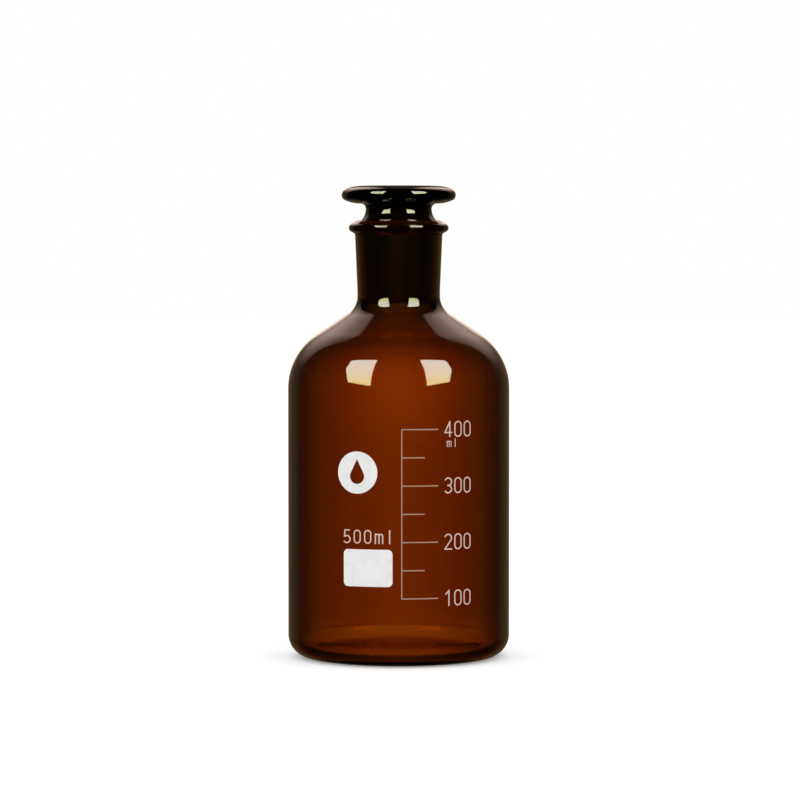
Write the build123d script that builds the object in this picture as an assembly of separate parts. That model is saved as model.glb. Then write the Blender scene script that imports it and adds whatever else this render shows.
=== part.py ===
from build123d import *

import os
from math import acos, atan2, cos, degrees, radians, sin, sqrt, tan

# Amber glass reagent bottle for 500 ml, with a narrow neck and a solid ground-glass stopper.
# Millimetres. +Z is up, the origin is the centre of the base, and the print faces -Y.
# Profiles are drawn as (radius, height) and turned about Z.

# Bottle, outside
BODY_RADIUS = 43.0
BEARING_INNER_RADIUS = 31.5     # inner edge of the ring that the bottle stands on
PUNT_HEIGHT = 3.0               # the base is pushed in this far at its centre
HEEL_ROUND = 8.8
SHOULDER_START = 104.75         # top of the straight wall
SHOULDER_ROUND = 25.0
CONE_SLOPE = 33.0               # degrees above the horizontal
NECK_ROOT_RADIUS = 16.05
NECK_ROOT_ROUND = 8.5
NECK_FLARE_START = 142.5        # the neck widens a little from here up to the lip
NECK_FLARE_ROUND = 60.0
NECK_TOP_RADIUS = 17.0

# Lip
LIP_TOP = 169.6
LIP_BEAD_HEIGHT = 166.8         # height of the bead's widest point
LIP_BEAD_RADIUS = 19.42
LIP_BEAD_ROUND = 1.65
LIP_SLOPE = 30.0                # degrees, of the flanks above and below the bead
LIP_UNDER_ROUND = 1.0
LIP_TOP_ROUND = 4.0
MOUTH_ROUND = 0.45

# Bottle, inside
WALL = 4.1
FLOOR_HEIGHT = 7.0              # top of the domed floor, at its centre
FLOOR_DOME_RADIUS = 165.0
INNER_HEEL_ROUND = 5.2
THROAT_ROUND = 5.0

# Ground joint, 29/32: 29.2 mm at its large end, tapering by 1 in 10 on the diameter
JOINT_LARGE_RADIUS = 14.6
JOINT_TAPER = 0.05              # radius lost for each millimetre of depth
JOINT_CLEARANCE = 0.025         # radial gap between plug and socket
SOCKET_BOTTOM = 136.0

# Stopper
STOPPER_TOP = 183.0
HEAD_RADIUS = 22.2
HEAD_THICKNESS = 6.9
CROWN_ROUND = 15.0              # eases the flat faces of the head into its rim
CROWN_TURN = 24.0               # degrees that this easing turns through
WAIST_RADIUS = 12.83
WAIST_ROUND = 6.5               # hollow between the waist and the ground plug
PLUG_LENGTH = 31.5
PLUG_END_ROUND = 1.2

# Print: fired-on enamel, a thin film on the straight wall. Angles are degrees round the
# wall from the front, positive to the right, and heights are from the base.
FILM = 0.04
PEN = 0.45                      # width of the scale's lines
LETTER_PEN = 0.5
SCALE_FIRST_HEIGHT = 26.55      # the lowest mark
SCALE_STEP = 21.35              # height of each 100 ml
SCALE_MARKS = 4
STEM_ANGLE = 1.6
LONG_TICK_ANGLE = 20.3
SHORT_TICK_ANGLE = 13.2
NUMERAL_ANGLE = 31.5
NUMERAL_HEIGHT = 6.1
NUMERAL_PITCH = 4.25
UNIT_ANGLE = 28.0
UNIT_HEIGHT = 3.2
UNIT_DROP = 5.2                 # the unit's middle, below that of the top numeral
CAPACITY_ANGLE = -15.8
CAPACITY_MIDDLE = 49.95
CAPACITY_HEIGHT = 5.3
CAPACITY_PITCH = 4.2
PANEL_ANGLE = -16.0
PANEL_MIDDLE = 38.1
PANEL_WIDTH = 19.2
PANEL_HEIGHT = 14.1
PANEL_CORNER = 1.8
EMBLEM_ANGLE = -21.5
EMBLEM_MIDDLE = 74.2
EMBLEM_RADIUS = 8.0
DROP_RADIUS = 2.9
DROP_APEX = 5.2                 # above the emblem's middle
DROP_CENTRE = -1.4

# Letter shapes, as fractions of the height between the middles of the strokes
LETTER_WIDTH = 0.5
LOWER_CASE_HEIGHT = 0.72
LOWER_CASE_WIDTH = 0.58

CONE_RISE = tan(radians(CONE_SLOPE))
INNER_RADIUS = BODY_RADIUS - WALL


def turned(profile):
    """A solid of revolution from a closed (radius, height) profile."""
    return revolve(Plane.XZ * make_face(profile), Axis.Z)


def cone_height(radius):
    """Height of the shoulder's outer cone, extended, at a radius."""
    corner = SHOULDER_START + SHOULDER_ROUND * tan(radians(90 - CONE_SLOPE) / 2)
    return corner + (BODY_RADIUS - radius) * CONE_RISE


def inner_cone_height(radius):
    """The same for the inside of the shoulder, one wall thickness further in."""
    return cone_height(radius) - WALL / cos(radians(CONE_SLOPE))


def lip_corners():
    """Corners of the beaded lip, from the neck up to the mouth, with their rounding."""
    flank = tan(radians(LIP_SLOPE))
    bead_centre = LIP_BEAD_RADIUS - LIP_BEAD_ROUND
    bead_corner = bead_centre + LIP_BEAD_ROUND / sin(radians(LIP_SLOPE))
    under = LIP_BEAD_HEIGHT - (bead_corner - NECK_TOP_RADIUS) * flank
    over = bead_corner - (LIP_TOP - LIP_BEAD_HEIGHT) / flank
    return [
        (NECK_TOP_RADIUS, under, LIP_UNDER_ROUND),
        (bead_corner, LIP_BEAD_HEIGHT, LIP_BEAD_ROUND),
        (over, LIP_TOP, LIP_TOP_ROUND),
        (JOINT_LARGE_RADIUS + JOINT_CLEARANCE, LIP_TOP, MOUTH_ROUND),
    ]


def wall_outline(inner_heel_height):
    """The wall's line: out along the base, up the outside, over the lip and down inside."""
    socket = JOINT_LARGE_RADIUS + JOINT_CLEARANCE
    throat = socket - (LIP_TOP - SOCKET_BOTTOM) * JOINT_TAPER
    corners = [
        (BODY_RADIUS, 0, HEEL_ROUND),
        (BODY_RADIUS, cone_height(BODY_RADIUS), SHOULDER_ROUND),
        (NECK_ROOT_RADIUS, cone_height(NECK_ROOT_RADIUS), NECK_ROOT_ROUND),
        (NECK_ROOT_RADIUS, NECK_FLARE_START, NECK_FLARE_ROUND),
        *lip_corners(),
        (throat, SOCKET_BOTTOM, 0),
        (throat, inner_cone_height(throat), THROAT_ROUND),
        (INNER_RADIUS, inner_cone_height(INNER_RADIUS), SHOULDER_ROUND - WALL),
    ]
    points = [(BEARING_INNER_RADIUS, 0), *[(x, z) for x, z, _ in corners]]
    points.append((INNER_RADIUS, inner_heel_height))
    return FilletPolyline(*points, radius=[size for _, _, size in corners])


def bottle():
    """The bottle: a thick-walled blown body, with its base pushed in and its floor domed."""
    heel_centre = INNER_RADIUS - INNER_HEEL_ROUND
    dome_centre = FLOOR_HEIGHT - FLOOR_DOME_RADIUS
    reach = FLOOR_DOME_RADIUS + INNER_HEEL_ROUND
    rise = sqrt(reach**2 - heel_centre**2)      # from the dome's centre to the heel's
    heel_height = dome_centre + rise
    share = FLOOR_DOME_RADIUS / reach
    meeting = (heel_centre * share, dome_centre + rise * share)
    heel_turn = 90 + degrees(atan2(heel_centre, rise))
    profile = [
        TangentArc((0, PUNT_HEIGHT), (BEARING_INNER_RADIUS, 0), tangent=(1, 0)),
        wall_outline(heel_height),
        CenterArc((heel_centre, heel_height), INNER_HEEL_ROUND, 0, -heel_turn),
        TangentArc((0, FLOOR_HEIGHT), meeting, tangent=(1, 0)),
        Line((0, FLOOR_HEIGHT), (0, PUNT_HEIGHT)),
    ]
    return turned(profile)


def stopper():
    """The stopper: a flat round head with a full-round rim, a waist and a ground plug."""
    turn = radians(CROWN_TURN)
    crown_rise = CROWN_ROUND * (1 - cos(turn))
    rim_round = (HEAD_THICKNESS / 2 - crown_rise) / cos(turn)
    flat_radius = HEAD_RADIUS - rim_round * (1 - sin(turn)) - CROWN_ROUND * sin(turn)
    underside = STOPPER_TOP - HEAD_THICKNESS
    grip_round = flat_radius - WAIST_RADIUS
    waist = (WAIST_RADIUS, underside - grip_round)

    hollow_turn = acos(1 - (JOINT_LARGE_RADIUS - WAIST_RADIUS) / WAIST_ROUND)
    plug_top = waist[1] - WAIST_ROUND * sin(hollow_turn)
    plug_end = plug_top - PLUG_LENGTH
    plug_end_radius = JOINT_LARGE_RADIUS - PLUG_LENGTH * JOINT_TAPER

    hollow = JernArc(waist, (0, -1), WAIST_ROUND, degrees(hollow_turn))
    grip = JernArc(waist, (0, 1), grip_round, -90)
    lower_crown = JernArc(grip @ 1, (1, 0), CROWN_ROUND, CROWN_TURN)
    rim = JernArc(lower_crown @ 1, lower_crown % 1, rim_round, 180 - 2 * CROWN_TURN)
    upper_crown = JernArc(rim @ 1, rim % 1, CROWN_ROUND, CROWN_TURN)
    plug = FilletPolyline(
        (0, plug_end), (plug_end_radius, plug_end), hollow @ 1, radius=[PLUG_END_ROUND]
    )
    top = Polyline(upper_crown @ 1, (0, STOPPER_TOP), (0, plug_end))
    return turned([plug, hollow, grip, lower_crown, rim, upper_crown, top])


def around(angle):
    """The upright plane through the axis that faces a viewer at an angle round the wall."""
    turn = radians(angle)
    return Plane(origin=(0, 0, 0), x_dir=(cos(turn), sin(turn), 0), z_dir=(sin(turn), -cos(turn), 0))


def printed(sketch, angle, height):
    """A flat sketch, centred on (0, 0), as an enamel film on the wall."""
    depth = 6.0                                 # of the cutting prism, well across the wall
    plane = around(angle)
    prism = extrude(plane * Pos(0, height, BODY_RADIUS - depth / 2) * sketch, depth, dir=plane.z_dir)
    band = Pos(0, 0, SHOULDER_START / 2) * Cylinder(BODY_RADIUS + FILM, SHOULDER_START)
    return (prism & band) - Pos(0, 0, SHOULDER_START / 2) * Cylinder(BODY_RADIUS, 2 * SHOULDER_START)


def arc_length(angle):
    return BODY_RADIUS * radians(angle)


def zero(w, h, pen):
    outer = SlotOverall(h + pen, w + pen, rotation=90)
    inner = SlotOverall(h - pen, w - pen, rotation=90)
    return Pos(w / 2, h / 2) * (outer - inner)


def one(w, h, pen):
    stem = Line((0.62 * w, -pen / 2), (0.62 * w, h + pen / 2))
    flag = Line((0.62 * w, h - 0.1 * pen), (0.1 * w, 0.74 * h))
    return trace(stem, pen) + trace(flag, pen)


def two(w, h, pen):
    bowl = CenterArc((w / 2, h - w / 2), w / 2, 165, -203)
    slant = Line(bowl @ 1, (0, 0))
    foot = Line((-pen / 2, 0), (w + pen / 2, 0))
    return trace(bowl, pen) + trace(slant, pen) + trace(foot, pen)


def three(w, h, pen):
    upper = CenterArc((w / 2, 0.75 * h), h / 4, 155, -260)
    lower = CenterArc((w / 2, 0.25 * h), h / 4, 105, -260)
    return trace(upper, pen) + trace(lower, pen)


def four(w, h, pen):
    stem = Line((0.74 * w, -pen / 2), (0.74 * w, h + pen / 2))
    bar = Line((-pen / 3, 0.27 * h), (w + pen / 2, 0.27 * h))
    slant = Line((0.74 * w, h), (0, 0.27 * h))
    return trace(stem, pen) + trace(bar, pen) + trace(slant, pen)


def five(w, h, pen):
    bowl = CenterArc((0.47 * w, 0.28 * h), 0.28 * h, 140, -290)
    flag = Line((0.12 * w, h), (w, h))
    stem = Line((0.18 * w, h + pen / 2), bowl @ 0)
    return trace(bowl, pen) + trace(flag, pen) + trace(stem, pen)


def letter_m(w, h, pen):
    top = LOWER_CASE_HEIGHT * h
    width = LOWER_CASE_WIDTH * h
    arch = width / 4
    strokes = [Line((0, -pen / 2), (0, top + pen / 2))]
    for middle in (arch, 3 * arch):
        strokes.append(CenterArc((middle, top - arch), arch, 0, 180))
        strokes.append(Line((middle + arch, -pen / 2), (middle + arch, top - arch)))
    return sum_of([trace(stroke, pen) for stroke in strokes])


def letter_l(w, h, pen):
    return trace(Line((w / 2, -pen / 2), (w / 2, h + pen / 2)), pen)


GLYPHS = {
    "0": zero, "1": one, "2": two, "3": three, "4": four, "5": five,
    "m": letter_m, "l": letter_l,
}


def sum_of(shapes):
    """One shape from several."""
    total = shapes[0]
    for shape in shapes[1:]:
        total += shape
    return total


def lettering(text, height, pitch, pen):
    """A line of letters, centred on (0, 0)."""
    stroke_height = height - pen
    width = LETTER_WIDTH * stroke_height
    left = -((len(text) - 1) * pitch + width) / 2
    letters = []
    for place, letter in enumerate(text):
        shape = GLYPHS[letter](width, stroke_height, pen)
        letters.append(Pos(left + place * pitch, -stroke_height / 2) * shape)
    return letters


def print_letters(text, angle, middle, height, pitch, pen):
    """Each letter of a line as a film of its own."""
    return [printed(shape, angle, middle) for shape in lettering(text, height, pitch, pen)]


def mark_height(mark):
    """Height of the 100 ml marks, counted from 0 at the lowest; halves are allowed."""
    return SCALE_FIRST_HEIGHT + mark * SCALE_STEP


def graduation_scale():
    """The stem with its ticks: a long one at each 100 ml and a short one between."""
    middle = (mark_height(0) + mark_height(SCALE_MARKS - 1)) / 2
    centre_angle = (STEM_ANGLE + LONG_TICK_ANGLE) / 2
    stem_x = arc_length(STEM_ANGLE - centre_angle)
    length = (SCALE_MARKS - 1) * SCALE_STEP
    lines = [Pos(stem_x, 0) * Rectangle(PEN, length + PEN)]
    start_x = stem_x + PEN / 2
    for half in range(2 * SCALE_MARKS - 1):
        end_angle = SHORT_TICK_ANGLE if half % 2 else LONG_TICK_ANGLE
        end_x = arc_length(end_angle - centre_angle)
        height = mark_height(half / 2) - middle
        lines.append(Pos((start_x + end_x) / 2, height) * Rectangle(end_x - start_x, PEN))
    return Compound(children=[printed(line, centre_angle, middle) for line in lines])


def scale_numerals():
    """The numbers of millilitres beside the long ticks."""
    films = []
    for mark in range(SCALE_MARKS):
        text = str(100 * (mark + 1))
        place = (NUMERAL_ANGLE, mark_height(mark))
        films += print_letters(text, *place, NUMERAL_HEIGHT, NUMERAL_PITCH, LETTER_PEN)
    return Compound(children=films)


def scale_unit():
    """The unit, small, under the top number."""
    middle = mark_height(SCALE_MARKS - 1) - UNIT_DROP
    pen = LETTER_PEN * 0.6
    pitch = 0.85 * UNIT_HEIGHT
    return Compound(children=print_letters("ml", UNIT_ANGLE, middle, UNIT_HEIGHT, pitch, pen))


def capacity_mark():
    """The bottle's nominal capacity."""
    place = (CAPACITY_ANGLE, CAPACITY_MIDDLE)
    films = print_letters("500ml", *place, CAPACITY_HEIGHT, CAPACITY_PITCH, LETTER_PEN)
    return Compound(children=films)


def writing_panel():
    """The matt panel for a pencilled label."""
    shape = RectangleRounded(PANEL_WIDTH, PANEL_HEIGHT, PANEL_CORNER)
    return printed(shape, PANEL_ANGLE, PANEL_MIDDLE)


def plain_emblem():
    """A plain disc with a drop left clear in it."""
    reach = DROP_APEX - DROP_CENTRE
    half_angle = degrees(acos(DROP_RADIUS / reach))     # from straight up to the tangent point
    bowl = CenterArc((0, DROP_CENTRE), DROP_RADIUS, 90 + half_angle, 360 - 2 * half_angle)
    sides = Polyline(bowl @ 1, (0, DROP_APEX), bowl @ 0)
    return printed(Circle(EMBLEM_RADIUS) - make_face([bowl, sides]), EMBLEM_ANGLE, EMBLEM_MIDDLE)


NODES = {
    "bottle": bottle,
    "stopper": stopper,
    "graduation_scale": graduation_scale,
    "scale_numerals": scale_numerals,
    "scale_unit": scale_unit,
    "capacity_mark": capacity_mark,
    "writing_panel": writing_panel,
    "plain_emblem": plain_emblem,
}

os.makedirs("parts", exist_ok=True)
for name, build in NODES.items():
    export_step(build(), f"parts/{name}.step")
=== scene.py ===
from math import acos, ceil, cos, pi, radians, sin, sqrt, tan

import bmesh
import bpy
from mathutils import Matrix, Vector


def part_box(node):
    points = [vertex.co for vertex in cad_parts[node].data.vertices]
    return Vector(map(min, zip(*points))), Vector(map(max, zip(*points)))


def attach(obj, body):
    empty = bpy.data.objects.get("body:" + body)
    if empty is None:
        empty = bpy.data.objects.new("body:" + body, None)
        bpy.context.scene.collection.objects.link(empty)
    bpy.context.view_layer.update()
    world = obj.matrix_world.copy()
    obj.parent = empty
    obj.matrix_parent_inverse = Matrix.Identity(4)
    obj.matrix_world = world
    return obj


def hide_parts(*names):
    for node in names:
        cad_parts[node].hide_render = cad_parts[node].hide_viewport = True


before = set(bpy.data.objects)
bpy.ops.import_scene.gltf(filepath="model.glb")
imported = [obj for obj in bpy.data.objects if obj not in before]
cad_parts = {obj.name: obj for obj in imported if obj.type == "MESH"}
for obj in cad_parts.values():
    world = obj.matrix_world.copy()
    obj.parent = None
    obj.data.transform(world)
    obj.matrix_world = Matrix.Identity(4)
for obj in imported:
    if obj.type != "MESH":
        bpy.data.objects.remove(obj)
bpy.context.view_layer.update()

MM = 0.001

# ---------------------------------------------------------------------------
# Sizes, in millimetres, as in the CAD model. The outer ones come from the frame.
# ---------------------------------------------------------------------------

BODY_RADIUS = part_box("bottle")[1].x / MM
LIP_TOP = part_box("bottle")[1].z / MM
HEAD_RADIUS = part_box("stopper")[1].x / MM
STOPPER_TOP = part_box("stopper")[1].z / MM
PLUG_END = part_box("stopper")[0].z / MM

BEARING_INNER_RADIUS = 31.5
PUNT_HEIGHT = 3.0
HEEL_ROUND = 8.8
SHOULDER_START = 104.75
SHOULDER_ROUND = 25.0
CONE_SLOPE = radians(33)
NECK_ROOT_RADIUS = 16.05
NECK_ROOT_ROUND = 8.5
NECK_FLARE_START = 142.5
NECK_FLARE_ROUND = 60.0
NECK_TOP_RADIUS = 17.0

LIP_BEAD_HEIGHT = 166.8
LIP_BEAD_RADIUS = 19.42
LIP_BEAD_ROUND = 1.65
LIP_SLOPE = radians(30)
LIP_UNDER_ROUND = 1.0
LIP_TOP_ROUND = 4.0
MOUTH_ROUND = 0.45

WALL = 4.1
INNER_RADIUS = BODY_RADIUS - WALL
FLOOR_HEIGHT = 7.0
FLOOR_DOME_RADIUS = 165.0
INNER_HEEL_ROUND = 5.2
THROAT_ROUND = 5.0

JOINT_LARGE_RADIUS = 14.6
JOINT_TAPER = 0.05
JOINT_CLEARANCE = 0.025
SOCKET_BOTTOM = 136.0

HEAD_THICKNESS = 6.9
CROWN_ROUND = 15.0
CROWN_TURN = radians(24)
WAIST_RADIUS = 12.83
WAIST_ROUND = 6.5
PLUG_END_ROUND = 1.2

TURN_STEPS = 256                # facets round each glass piece
ARC_STEP = radians(2.5)         # facets along each rounding of a profile
LONGEST_RUN = 6.0               # longest facet along a straight run of a profile
ON_AXIS = 1e-6                  # a radius under this is on the axis

# ---------------------------------------------------------------------------
# Profiles: points of (radius, height), joined by lines and arcs
# ---------------------------------------------------------------------------


def swept(start, centre, turn):
    """Points of an arc, from its start round its centre, without the start itself."""
    steps = max(2, ceil(abs(turn) / ARC_STEP))
    arm = start - centre
    return [centre + Matrix.Rotation(turn * i / steps, 2) @ arm for i in range(1, steps + 1)]


def heading_arc(start, heading, radius, turn):
    """Points of an arc that leaves a point in a direction; a positive turn is to the left."""
    side = 1 if turn > 0 else -1
    centre = start + radius * side * Vector((-sin(heading), cos(heading)))
    return swept(start, centre, turn)


def rounded_corner(before, corner, after, radius):
    """Points that replace a corner, from where the rounding starts to where it ends."""
    back = (before - corner).normalized()
    ahead = (after - corner).normalized()
    half = back.angle(ahead) / 2
    start = corner + back * radius / tan(half)
    centre = corner + (back + ahead).normalized() * radius / sin(half)
    side = 1 if ahead.cross(back) > 0 else -1
    return [start, *swept(start, centre, side * (pi - 2 * half))]


def rounded_line(first, corners, last):
    """A line of corners, each (radius, height, rounding), between two end points."""
    places = [Vector(first), *[Vector(c[:2]) for c in corners], Vector(last)]
    points = [places[0]]
    for i, (_, _, rounding) in enumerate(corners):
        before, corner, after = places[i:i + 3]
        if rounding:
            points += rounded_corner(before, corner, after, rounding)
        else:
            points.append(corner)
    return points + [places[-1]]


def cone_height(radius):
    """Height of the shoulder's outer cone, extended, at a radius."""
    corner = SHOULDER_START + SHOULDER_ROUND * tan((pi / 2 - CONE_SLOPE) / 2)
    return corner + (BODY_RADIUS - radius) * tan(CONE_SLOPE)


def inner_cone_height(radius):
    return cone_height(radius) - WALL / cos(CONE_SLOPE)


def lip_corners():
    """The beaded lip, from the neck up to the mouth."""
    flank = tan(LIP_SLOPE)
    bead_corner = LIP_BEAD_RADIUS - LIP_BEAD_ROUND + LIP_BEAD_ROUND / sin(LIP_SLOPE)
    under = LIP_BEAD_HEIGHT - (bead_corner - NECK_TOP_RADIUS) * flank
    over = bead_corner - (LIP_TOP - LIP_BEAD_HEIGHT) / flank
    return [
        (NECK_TOP_RADIUS, under, LIP_UNDER_ROUND),
        (bead_corner, LIP_BEAD_HEIGHT, LIP_BEAD_ROUND),
        (over, LIP_TOP, LIP_TOP_ROUND),
        (JOINT_LARGE_RADIUS + JOINT_CLEARANCE, LIP_TOP, MOUTH_ROUND),
    ]


def bottle_profile():
    """From the axis under the base, up the outside, and down the inside to the floor."""
    punt_radius = (BEARING_INNER_RADIUS**2 + PUNT_HEIGHT**2) / (2 * PUNT_HEIGHT)
    punt_turn = acos(1 - PUNT_HEIGHT / punt_radius)
    apex = Vector((0, PUNT_HEIGHT))
    punt = [apex, *heading_arc(apex, 0, punt_radius, -punt_turn)]

    heel_centre = INNER_RADIUS - INNER_HEEL_ROUND
    dome_centre = FLOOR_HEIGHT - FLOOR_DOME_RADIUS
    reach = FLOOR_DOME_RADIUS + INNER_HEEL_ROUND
    heel_height = dome_centre + sqrt(reach**2 - heel_centre**2)
    dome_turn = acos((heel_height - dome_centre) / reach)

    socket = JOINT_LARGE_RADIUS + JOINT_CLEARANCE
    throat = socket - (LIP_TOP - SOCKET_BOTTOM) * JOINT_TAPER
    corners = [
        (BODY_RADIUS, 0, HEEL_ROUND),
        (BODY_RADIUS, cone_height(BODY_RADIUS), SHOULDER_ROUND),
        (NECK_ROOT_RADIUS, cone_height(NECK_ROOT_RADIUS), NECK_ROOT_ROUND),
        (NECK_ROOT_RADIUS, NECK_FLARE_START, NECK_FLARE_ROUND),
        *lip_corners(),
        (throat, SOCKET_BOTTOM, 0),
        (throat, inner_cone_height(throat), THROAT_ROUND),
        (INNER_RADIUS, inner_cone_height(INNER_RADIUS), SHOULDER_ROUND - WALL),
    ]
    wall = rounded_line(punt[-1], corners, (INNER_RADIUS, heel_height))
    heel = heading_arc(wall[-1], -pi / 2, INNER_HEEL_ROUND, -(pi / 2 + dome_turn))
    dome = heading_arc(heel[-1], pi - dome_turn, FLOOR_DOME_RADIUS, dome_turn)
    return punt + wall[1:] + heel + dome


def stopper_profile():
    """From the axis under the plug, up the plug, waist and rim, to the axis on top."""
    crown_rise = CROWN_ROUND * (1 - cos(CROWN_TURN))
    rim_round = (HEAD_THICKNESS / 2 - crown_rise) / cos(CROWN_TURN)
    rim_run = rim_round * (1 - sin(CROWN_TURN))
    flat_radius = HEAD_RADIUS - rim_run - CROWN_ROUND * sin(CROWN_TURN)
    grip_round = flat_radius - WAIST_RADIUS
    waist_height = STOPPER_TOP - HEAD_THICKNESS - grip_round
    hollow_turn = acos(1 - (JOINT_LARGE_RADIUS - WAIST_RADIUS) / WAIST_ROUND)
    plug_top = Vector((JOINT_LARGE_RADIUS, waist_height - WAIST_ROUND * sin(hollow_turn)))
    end_radius = JOINT_LARGE_RADIUS - (plug_top.y - PLUG_END) * JOINT_TAPER

    points = rounded_line((0, PLUG_END), [(end_radius, PLUG_END, PLUG_END_ROUND)], plug_top)
    heading = pi / 2 + hollow_turn
    for radius, turn in (
        (WAIST_ROUND, -hollow_turn),
        (grip_round, -pi / 2),
        (CROWN_ROUND, CROWN_TURN),
        (rim_round, pi - 2 * CROWN_TURN),
        (CROWN_ROUND, CROWN_TURN),
    ):
        points += heading_arc(points[-1], heading, radius, turn)
        heading += turn
    return points + [Vector((0, STOPPER_TOP))]


def split_long(points, longest):
    """The same line with its long straight runs cut into shorter ones."""
    out = [points[0]]
    for start, end in zip(points, points[1:]):
        count = max(1, ceil((end - start).length / longest))
        out += [start.lerp(end, i / count) for i in range(1, count + 1)]
    return out


# ---------------------------------------------------------------------------
# Meshes
# ---------------------------------------------------------------------------


def ring_points(radius, height):
    """Points of one ring about Z, in metres, or the one point where it is on the axis."""
    if radius < ON_AXIS:
        return [Vector((0, 0, height * MM))]
    angles = [2 * pi * i / TURN_STEPS for i in range(TURN_STEPS)]
    return [Vector((radius * cos(a), radius * sin(a), height)) * MM for a in angles]


def turned_mesh(name, profile):
    """A closed mesh, turned about Z from a profile that starts and ends on the axis."""
    bm = bmesh.new()
    rings = [[bm.verts.new(p) for p in ring_points(*place)] for place in profile]
    for lower, upper in zip(rings, rings[1:]):
        for i in range(TURN_STEPS):
            j = (i + 1) % TURN_STEPS
            if len(lower) == 1:
                bm.faces.new((lower[0], upper[j], upper[i]))
            elif len(upper) == 1:
                bm.faces.new((lower[i], lower[j], upper[0]))
            else:
                bm.faces.new((lower[i], lower[j], upper[j], upper[i]))
    bmesh.ops.recalc_face_normals(bm, faces=bm.faces)
    mesh = bpy.data.meshes.new(name)
    bm.to_mesh(mesh)
    bm.free()
    mesh.shade_smooth()
    piece = bpy.data.objects.new(name, mesh)
    bpy.context.scene.collection.objects.link(piece)
    return piece


# ---------------------------------------------------------------------------
# Materials
# ---------------------------------------------------------------------------


def new_material(name):
    material = bpy.data.materials.new(name)
    material.use_nodes = True
    tree = material.node_tree
    tree.nodes.clear()
    return material, tree


def add(tree, kind, inputs=None, **settings):
    """A node with its settings and inputs; an input is a plain value or another node's output."""
    node = tree.nodes.new(kind)
    for key, value in settings.items():
        setattr(node, key, value)
    for key, value in (inputs or {}).items():
        if isinstance(value, bpy.types.NodeSocket):
            tree.links.new(value, node.inputs[key])
        else:
            node.inputs[key].default_value = value
    return node


def maths(tree, operation, first, second=0.0):
    return add(tree, "ShaderNodeMath", {0: first, 1: second}, operation=operation).outputs[0]


def times(tree, *factors):
    """The product of several values."""
    product = factors[0]
    for factor in factors[1:]:
        product = maths(tree, "MULTIPLY", product, factor)
    return product


def ramp_between(tree, value, low, high, low_out=0.0, high_out=1.0):
    """Smoothly from low_out at low to high_out at high, and level outside."""
    node = add(
        tree,
        "ShaderNodeMapRange",
        {"Value": value, "From Min": low, "From Max": high, "To Min": low_out, "To Max": high_out},
        interpolation_type="SMOOTHSTEP",
    )
    return node.outputs["Result"]


def bell(tree, value, centre, width):
    """A smooth peak of 1 at its centre."""
    offset = times(tree, maths(tree, "SUBTRACT", value, centre), 1 / width)
    return maths(tree, "EXPONENT", times(tree, offset, offset, -1))


def mixed(tree, factor, first, second, kind="RGBA"):
    """A colour, or with kind FLOAT a value, between two others."""
    inputs = {"Factor": factor, "A": first, "B": second}
    return add(tree, "ShaderNodeMix", inputs, data_type=kind).outputs["Result"]


GLASS_IOR = 1.52
GLASS_ABSORPTION = (244.0, 506.0, 940.0)    # per metre, in red, green and blue
ABSORPTION_DENSITY = 1000.0
POLISHED = 0.0                  # roughness of the glass as it was blown
GROUND = 0.15                   # and of the joint
GROUND_EDGE = 0.4               # mm over which one becomes the other
SOCKET_BEVEL = 0.5              # mm below the mouth that aren't ground
PLUG_BEVEL = 1.0                # mm above the plug's end that aren't ground
PLUG_TOP_DROP = 0.2             # the plug is ground to this far below the lip, in mm
SOCKET_MARGIN = 0.3             # mm outside the socket's large end that still count as inside it
WAVE_SCALE = 38.0               # slow waves in the blown surface, per metre
WAVE_HEIGHT = 0.00012

# Painted shade: the glass is darkened up the shoulder, neck and stopper, from one height to
# another, in mm, by a colour that each surface multiplies what is seen through it by
BOTTLE_PAINTED_SHADE = [(108, 140, (0.48, 0.82, 0.92, 1)), (130, 140, (0.56, 0.53, 0.95, 1))]
STOPPER_PAINTED_SHADE = [(120, 140, (0.50, 0.35, 0.40, 1))]
WHITE = (1.0, 1.0, 1.0, 1)


def amber_glass(name, ground_mask, painted_shades):
    """Amber glass; ground_mask makes the mask of its ground surface from x, y and z.

    Each of its painted shades, a darker colour that stands in for shade, comes in from one height
    to another, in mm, over those before it.
    """
    material, tree = new_material(name)
    place = add(tree, "ShaderNodeTexCoord").outputs["Object"]
    split = add(tree, "ShaderNodeSeparateXYZ", {0: place})
    mask = ground_mask(tree, split.outputs["X"], split.outputs["Y"], split.outputs["Z"])
    roughness = ramp_between(tree, mask, 0, 1, POLISHED, GROUND)
    waves = add(tree, "ShaderNodeTexNoise", {"Vector": place, "Scale": WAVE_SCALE, "Detail": 1.0})
    relief = {"Height": waves.outputs[0], "Strength": 1.0, "Distance": WAVE_HEIGHT}
    bump = add(tree, "ShaderNodeBump", relief)
    # Painted shade: the glass gets darker towards the top, in steps from one height to another
    tint = WHITE
    for low, high, colour in painted_shades:
        share = ramp_between(tree, split.outputs["Z"], low * MM, high * MM)
        tint = mixed(tree, share, tint, colour)
    shader = add(
        tree,
        "ShaderNodeBsdfPrincipled",
        {
            "Base Color": tint,
            "Roughness": roughness,
            "IOR": GLASS_IOR,
            "Transmission Weight": 1.0,
            "Normal": bump.outputs[0],
        },
    )
    colour = [1 - a / ABSORPTION_DENSITY for a in GLASS_ABSORPTION]
    volume = add(
        tree,
        "ShaderNodeVolumeAbsorption",
        {"Color": (*colour, 1), "Density": ABSORPTION_DENSITY},
    )
    add(
        tree,
        "ShaderNodeOutputMaterial",
        {"Surface": shader.outputs[0], "Volume": volume.outputs[0]},
    )
    return material


def distance_from_axis(tree, x, y):
    return maths(tree, "SQRT", maths(tree, "ADD", times(tree, x, x), times(tree, y, y)))


def within(tree, value, low, high, edge):
    """1 between two limits and 0 outside them, with soft edges."""
    above = ramp_between(tree, value, low, low + edge)
    below = ramp_between(tree, value, high - edge, high, 1.0, 0.0)
    return times(tree, above, below)


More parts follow.
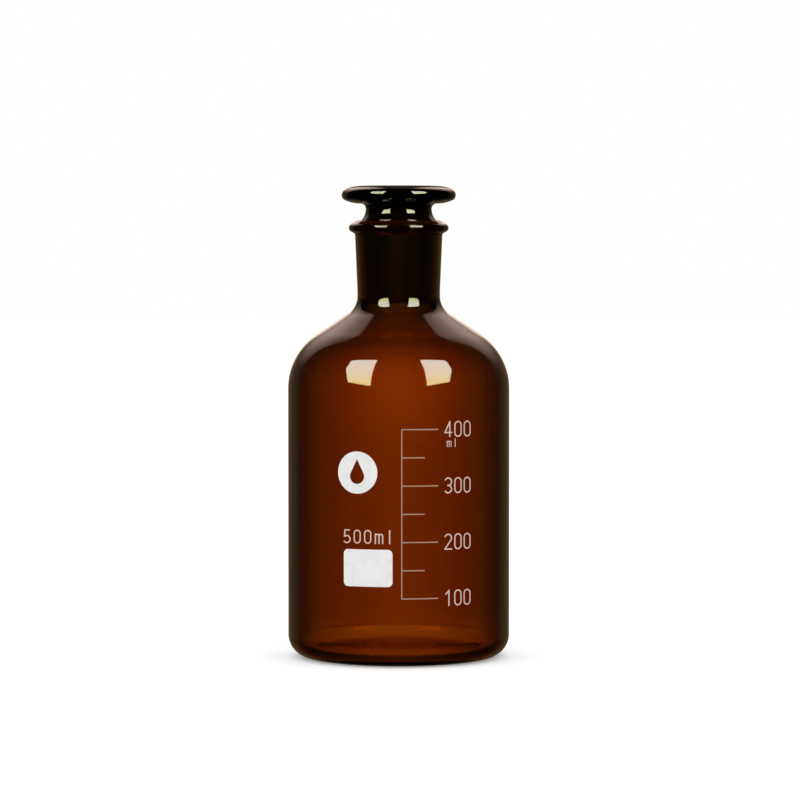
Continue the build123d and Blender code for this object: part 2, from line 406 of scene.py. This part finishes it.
def socket_mask(tree, x, y, z):
    """The ground socket in the neck."""
    top = (LIP_TOP - SOCKET_BEVEL) * MM
    height = within(tree, z, SOCKET_BOTTOM * MM, top, GROUND_EDGE * MM)
    limit = (JOINT_LARGE_RADIUS + SOCKET_MARGIN) * MM
    from_axis = distance_from_axis(tree, x, y)
    return times(tree, height, ramp_between(tree, from_axis, limit, limit + 0.1 * MM, 1.0, 0.0))


def plug_mask(tree, x, y, z):
    """The ground plug of the stopper, but not its end face."""
    bottom = (PLUG_END + PLUG_BEVEL) * MM
    top = (LIP_TOP - PLUG_TOP_DROP) * MM
    return within(tree, z, bottom, top, GROUND_EDGE * MM)


ENAMEL_IOR = 1.5
GRAIN_SCALE = 2500.0            # of the enamel's fine grain, per metre
CLOUD_SCALE = 160.0             # of its uneven thickness, per metre
THIN_SHADE = 0.86               # how much darker it is where it is thinnest
GRAIN_HEIGHT = 0.00001


def enamel(name, colour, roughness):
    """Fired-on enamel: a thin matt print with a fine grain and slightly uneven cover."""
    material, tree = new_material(name)
    place = add(tree, "ShaderNodeTexCoord").outputs["Object"]
    grain, cloud = (
        add(tree, "ShaderNodeTexNoise", {"Vector": place, "Scale": scale, "Detail": detail})
        for scale, detail in ((GRAIN_SCALE, 3.0), (CLOUD_SCALE, 2.0))
    )
    cover = times(tree, maths(tree, "ADD", grain.outputs[0], cloud.outputs[0]), 0.5)
    thin = [c * THIN_SHADE for c in colour]
    tone = mixed(tree, ramp_between(tree, cover, 0.35, 0.65), (*thin, 1), (*colour, 1))
    relief = {"Height": grain.outputs[0], "Strength": 0.4, "Distance": GRAIN_HEIGHT}
    bump = add(tree, "ShaderNodeBump", relief)
    shader = add(
        tree,
        "ShaderNodeBsdfPrincipled",
        {
            "Base Color": tone,
            "Roughness": roughness,
            "IOR": ENAMEL_IOR,
            "Normal": bump.outputs[0],
        },
    )
    add(tree, "ShaderNodeOutputMaterial", {"Surface": shader.outputs[0]})
    return material


def dress(piece, material):
    piece.data.materials.clear()
    piece.data.materials.append(material)


# ---------------------------------------------------------------------------
# The object
# ---------------------------------------------------------------------------

bottle_glass = turned_mesh("bottle_glass", split_long(bottle_profile(), LONGEST_RUN))
dress(bottle_glass, amber_glass("bottle_amber_glass", socket_mask, BOTTLE_PAINTED_SHADE))
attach(bottle_glass, "bottle")
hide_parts("bottle")

stopper_glass = turned_mesh("stopper_glass", split_long(stopper_profile(), LONGEST_RUN))
dress(stopper_glass, amber_glass("stopper_amber_glass", plug_mask, STOPPER_PAINTED_SHADE))
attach(stopper_glass, "stopper")
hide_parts("stopper")

# Thin strokes get a thinner coat of enamel, so they are darker over the brown glass
line_enamel = enamel("line_enamel", (0.37, 0.20, 0.135), 0.5)
letter_enamel = enamel("letter_enamel", (0.60, 0.42, 0.36), 0.5)
panel_enamel = enamel("panel_enamel", (0.75, 0.75, 0.75), 0.7)
for node, material in (
    ("graduation_scale", line_enamel),
    ("scale_numerals", letter_enamel),
    ("scale_unit", letter_enamel),
    ("capacity_mark", letter_enamel),
    ("writing_panel", panel_enamel),
    ("plain_emblem", panel_enamel),
):
    dress(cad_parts[node], material)

# ---------------------------------------------------------------------------
# Stage: floor, surroundings and lights
# ---------------------------------------------------------------------------

FLOOR_HALF = 6.0
FLOOR_TONE = 0.96
FLOOR_GLOW = 0.25               # light of the floor's own, which keeps the shadow soft


def make_floor():
    """A plain pale floor. The glass shows the surroundings' table in its place."""
    mesh = bpy.data.meshes.new("floor")
    corners = [(-1, -1), (1, -1), (1, 1), (-1, 1)]
    mesh.from_pydata([(x * FLOOR_HALF, y * FLOOR_HALF, 0) for x, y in corners], [], [(0, 1, 2, 3)])
    floor = bpy.data.objects.new("floor", mesh)
    bpy.context.scene.collection.objects.link(floor)
    material, tree = new_material("floor")
    paper = add(tree, "ShaderNodeBsdfDiffuse", {"Color": (FLOOR_TONE, FLOOR_TONE, FLOOR_TONE, 1)})
    glow = add(tree, "ShaderNodeEmission", {"Strength": FLOOR_GLOW})
    shader = add(tree, "ShaderNodeAddShader", {0: paper.outputs[0], 1: glow.outputs[0]})
    add(tree, "ShaderNodeOutputMaterial", {"Surface": shader.outputs[0]})
    mesh.materials.append(material)
    floor.visible_glossy = False
    floor.visible_transmission = False


# The surroundings are painted by direction: x is to the right, y to the back, z up, and
# each is the matching part of a direction of length 1.

POOL_TOP = -0.0385              # z of the pool of light behind the bottle, where it is brightest
POOL_FALL = 0.016               # how fast it fades below that
POOL_WIDTH = 0.075
POOL_LIGHT = 0.85
POOL_REST = 0.4                 # share of it that is left far below its top
TABLE_EDGE = (-0.112, -0.102)   # z between which the backdrop gives way to the table
TABLE_LIGHT = 1.3
SHADE_UNDER = 0.25              # light from steeply below, where the bottle shades the table
# Hues of what the glass shows: the table, and the backdrop to the sides
SEEN_LOW = (1.0, 1.5, 1.3, 1)
SEEN_ASIDE = (1.1, 2.3, 1.8, 1)

SHEET_RISE = radians(15)        # elevation, straight behind, that the sheet's light centres on
SHEET_CONTRAST = 2.71           # its light is this times the cosine of the angle from there,
SHEET_CUT = 1.468               # less this
SHEET_LIGHT = 1.5
SHEET_FOOT = 0.085              # share of its light that it has low down, beside its middle
SHEET_TOP = (0.80, 0.83)        # z between which it ends
SHEET_SLANT = 1.19              # how far its sides lean away from straight behind
ROOM_LIGHT = 0.015              # light of the dark room round the sheet
SKIRTING_LIGHT = 0.10           # light of what lies low behind the bottle
# Hues of what the glass mirrors, low down and high up
MIRRORED_LOW = (1.0, 0.84, 0.45, 1)
MIRRORED_HIGH = (1.08, 0.82, 0.69, 1)


def seen_through(tree, x, y, z):
    """Backdrop as the glass shows it: a pool of light low behind the bottle, dimmer around."""
    spread = maths(tree, "ABSOLUTE", x)
    around = times(
        tree,
        ramp_between(tree, spread, 0.10, 0.26, 0.80, 0.44),
        ramp_between(tree, spread, 0.30, 0.60, 1.0, 0.35),
    )
    fading = bell(tree, maths(tree, "MINIMUM", z, POOL_TOP), POOL_TOP, POOL_FALL)
    depth = maths(tree, "ADD", times(tree, fading, 1 - POOL_REST), POOL_REST)
    behind = ramp_between(tree, y, 0.0, 0.3)
    pool = times(tree, bell(tree, x, 0.0, POOL_WIDTH), behind, depth, POOL_LIGHT)
    table = ramp_between(tree, z, *TABLE_EDGE, TABLE_LIGHT, 1.0)
    steep = ramp_between(tree, z, -0.5, -0.3, SHADE_UNDER, 1.0)
    return times(tree, maths(tree, "ADD", around, pool), table, steep)


def mirrored(tree, x, y, z):
    """Backdrop as the glass mirrors it: an upright sheet behind the bottle in a dark room.

    The sheet is dim low down, except in its middle, and has a gap up its middle.
    """
    spread = maths(tree, "ABSOLUTE", x)
    level, upward = times(tree, y, cos(SHEET_RISE)), times(tree, z, sin(SHEET_RISE))
    fading = times(tree, maths(tree, "ADD", level, upward), SHEET_CONTRAST)
    fading = maths(tree, "MAXIMUM", maths(tree, "SUBTRACT", fading, SHEET_CUT), 0.0)
    middle = ramp_between(tree, spread, 0.12, 0.34, 1.0, 0.0)
    middle = times(tree, middle, ramp_between(tree, z, -0.1, 0.1))
    rising = maths(tree, "MAXIMUM", ramp_between(tree, z, 0.17, 0.60, SHEET_FOOT, 1.0), middle)
    inward = maths(tree, "SUBTRACT", times(tree, y, SHEET_SLANT), spread)
    sides = ramp_between(tree, inward, -0.05, 0.08)
    top = ramp_between(tree, z, *SHEET_TOP, 1.0, 0.0)
    under_gap = ramp_between(tree, z, 0.0, 0.08, 1.0, 0.0)
    gap = maths(tree, "MAXIMUM", ramp_between(tree, spread, 0.06, 0.13), under_gap)
    sheet = times(tree, fading, rising, sides, top, gap, SHEET_LIGHT)
    behind = times(tree, ramp_between(tree, y, 0.46, 0.72), ramp_between(tree, z, -0.3, -0.1))
    skirting = times(tree, behind, SKIRTING_LIGHT)
    return maths(tree, "MAXIMUM", maths(tree, "ADD", sheet, ROOM_LIGHT), skirting)


def make_surroundings():
    """White to the camera; shaded by direction for light, reflections and what the glass shows."""
    world = bpy.data.worlds.new("surroundings")
    bpy.context.scene.world = world
    world.use_nodes = True
    tree = world.node_tree
    tree.nodes.clear()
    direction = add(tree, "ShaderNodeTexCoord").outputs["Generated"]
    split = add(tree, "ShaderNodeSeparateXYZ", {0: direction})
    x, y, z = (split.outputs[axis] for axis in "XYZ")

    path = add(tree, "ShaderNodeLightPath")
    tone = ramp_between(tree, z, -0.3, 0.2, 0.75, 1.05)
    for ray, value in (
        ("Is Glossy Ray", mirrored(tree, x, y, z)),
        ("Is Transmission Ray", seen_through(tree, x, y, z)),
        ("Is Camera Ray", 1.0),
    ):
        tone = mixed(tree, path.outputs[ray], tone, value, "FLOAT")
    side = ramp_between(tree, maths(tree, "ABSOLUTE", x), 0.06, 0.2)
    ahead = mixed(tree, ramp_between(tree, z, *TABLE_EDGE), SEEN_LOW, WHITE)
    tint = WHITE
    for ray, share, near, far in (
        ("Is Glossy Ray", ramp_between(tree, z, 0.0, 0.25), MIRRORED_LOW, MIRRORED_HIGH),
        ("Is Transmission Ray", side, ahead, SEEN_ASIDE),
    ):
        hue = mixed(tree, share, near, far)
        tint = mixed(tree, path.outputs[ray], tint, hue)
    background = add(tree, "ShaderNodeBackground", {"Color": tint, "Strength": tone})
    add(tree, "ShaderNodeOutputWorld", {"Surface": background.outputs[0]})


def towards(azimuth, elevation):
    """The direction at an azimuth, from the front and positive to the right, in degrees."""
    a, e = radians(azimuth), radians(elevation)
    return Vector((sin(a) * cos(e), -cos(a) * cos(e), sin(e)))


SOFTBOX_DISTANCE = 2.0
SOFTBOX_MIDDLE = Vector((0, 0, 0.1))
# Azimuth and elevation of each corner, in degrees; one corner is cut off
SOFTBOX_CORNERS = [(66.1, 45.1), (31.4, 52.7), (29.0, 8.0), (54.0, 12.3), (63.3, 31.0)]
SOFTBOX_POWER = 14.0
SOFTBOX_RED = 0.94
SOFTBOX_GREEN = 0.93
SOFTBOX_BLUE = (0.36, 0.78)     # low down, where it is warmer, and high up


def make_softbox(name, side):
    """A soft light beside the camera that the glass mirrors; it lights nothing else."""
    mesh = bpy.data.meshes.new(name)
    corners = [
        SOFTBOX_MIDDLE + SOFTBOX_DISTANCE * towards(side * azimuth, elevation)
        for azimuth, elevation in SOFTBOX_CORNERS
    ]
    mesh.from_pydata(corners, [], [tuple(range(len(corners)))])
    box = bpy.data.objects.new(name, mesh)
    bpy.context.scene.collection.objects.link(box)
    material, tree = new_material(name)
    place = add(tree, "ShaderNodeTexCoord").outputs["Object"]
    height = add(tree, "ShaderNodeSeparateXYZ", {0: place}).outputs["Z"]
    blue = ramp_between(tree, height, 0.3, 1.3, *SOFTBOX_BLUE)
    colour = add(tree, "ShaderNodeCombineXYZ", {0: SOFTBOX_RED, 1: SOFTBOX_GREEN, 2: blue})
    glow = {"Color": colour.outputs[0], "Strength": SOFTBOX_POWER}
    shader = add(tree, "ShaderNodeEmission", glow)
    add(tree, "ShaderNodeOutputMaterial", {"Surface": shader.outputs[0]})
    mesh.materials.append(material)
    box.visible_camera = False
    box.visible_diffuse = False
    box.visible_shadow = False


make_floor()
make_surroundings()
make_softbox("softbox_left", -1)
make_softbox("softbox_right", 1)

# ---------------------------------------------------------------------------
# Camera
# ---------------------------------------------------------------------------

CAMERA_DISTANCE = 1.4
CAMERA_HEIGHT = 0.162
CAMERA_PITCH = radians(2.54)
CAMERA_LENS = 162.2
CAMERA_SIDE = 0.0005
CAMERA_SENSOR = 36

camera_data = bpy.data.cameras.new("camera")
camera_data.lens = CAMERA_LENS
camera_data.sensor_width = CAMERA_SENSOR
camera = bpy.data.objects.new("camera", camera_data)
camera.location = (CAMERA_SIDE, -CAMERA_DISTANCE, CAMERA_HEIGHT)
camera.rotation_euler = (pi / 2 - CAMERA_PITCH, 0, 0)
bpy.context.scene.collection.objects.link(camera)
bpy.context.scene.camera = camera
bpy.context.scene.view_settings.view_transform = "Standard"
